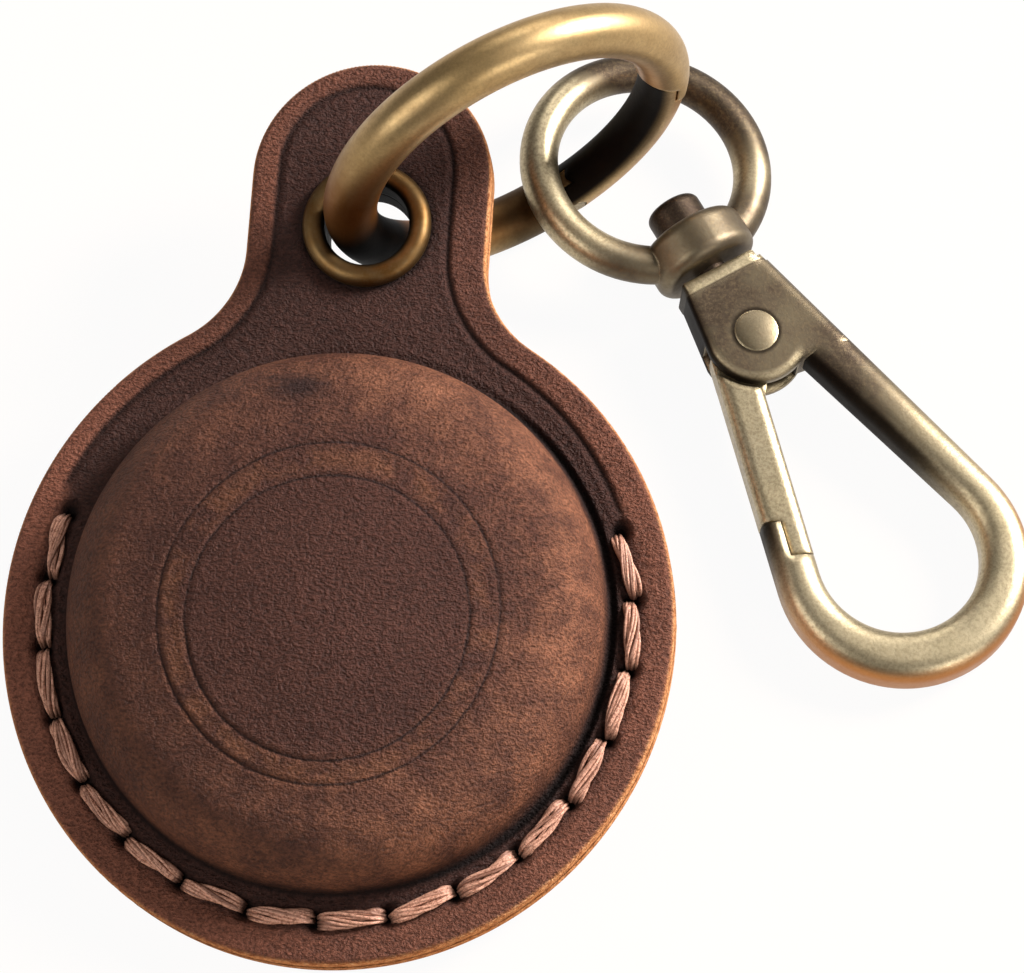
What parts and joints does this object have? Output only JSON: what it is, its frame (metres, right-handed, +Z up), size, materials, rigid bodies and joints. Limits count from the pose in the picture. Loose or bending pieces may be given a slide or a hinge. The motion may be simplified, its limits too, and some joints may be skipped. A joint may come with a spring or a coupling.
{
  "type": "tracker tag holder",
  "caption": "Stitched leather fob moulded over a round tracker tag, hung by an eyelet on a brass gate ring with a swivel snap hook.",
  "frame": {"origin": "middle of the underside of the whole part's box, on the table it lies on", "axes": "+Z up from the table; +Y the way the leather's neck points, less a few degrees; +X to the side that the ring and the hook lie on, as seen from above"},
  "size_m": [0.0666, 0.0636, 0.0263],
  "materials": {
    "leather": "waxed, pebbled grain",
    "thread": "waxed thread",
    "antique_brass": "antique, worn bright",
    "tag_plastic": "gloss",
    "tag_steel": "polished",
    "board": "matte",
    "spring_steel": "drawn wire"
  },
  "bodies": {
    "holder": {"front_leather": "leather", "back_leather": "leather", "seam_thread": "thread", "front_eyelet": "antique_brass", "front_washer": "antique_brass", "back_eyelet": "antique_brass", "back_washer": "antique_brass", "tag_shell": "tag_plastic", "tag_cover": "tag_steel", "tag_battery": "tag_steel", "tag_carrier": "tag_plastic", "tag_board": "board"},
    "ring": {"ring_frame": "antique_brass", "ring_pin": "antique_brass"},
    "ring_gate": {"ring_gate": "antique_brass", "ring_spring": "spring_steel"},
    "eye": {"swivel_eye": "antique_brass"},
    "hook": {"hook_body": "antique_brass", "swivel_post": "antique_brass", "lever_rivet": "antique_brass", "lever_spring": "spring_steel"},
    "lever": {"hook_lever": "antique_brass"}
  },
  "joints": [
    {"name": "ring_swing", "type": "hinge", "parent": "holder", "child": "ring", "pos_m": [-0.0099, 0.01565, 0.00931], "axis": [-0.0803, -0.151, 0.9853], "range_deg": [-8, 120]},
    {"name": "ring_gate_hinge", "type": "hinge", "parent": "ring", "child": "ring_gate", "pos_m": [0.00332, 0.02246, 0.00274], "axis": [0.4462, -0.8949, 0], "range_deg": [0, 26], "stiffness_Nm_per_rad": 0.002, "springref_deg": -34.38},
    {"name": "eye_travel", "type": "hinge", "parent": "ring", "child": "eye", "pos_m": [-0.00083, 0.02039, 0.01316], "axis": [0.4462, -0.8949, 0], "range_deg": [-10, 100]},
    {"name": "hook_swivel", "type": "hinge", "parent": "eye", "child": "hook", "pos_m": [0.00852, 0.02314, 0.00419], "axis": [-0.493, 0.8678, 0.0627], "continuous": true},
    {"name": "lever_hinge", "type": "hinge", "parent": "hook", "child": "lever", "pos_m": [0.01559, 0.01069, 0.00329], "axis": [0.031, -0.0545, 0.998], "range_deg": [0, 25], "stiffness_Nm_per_rad": 0.003, "springref_deg": -28.65, "deforming": ["lever_spring"]}
  ]
}
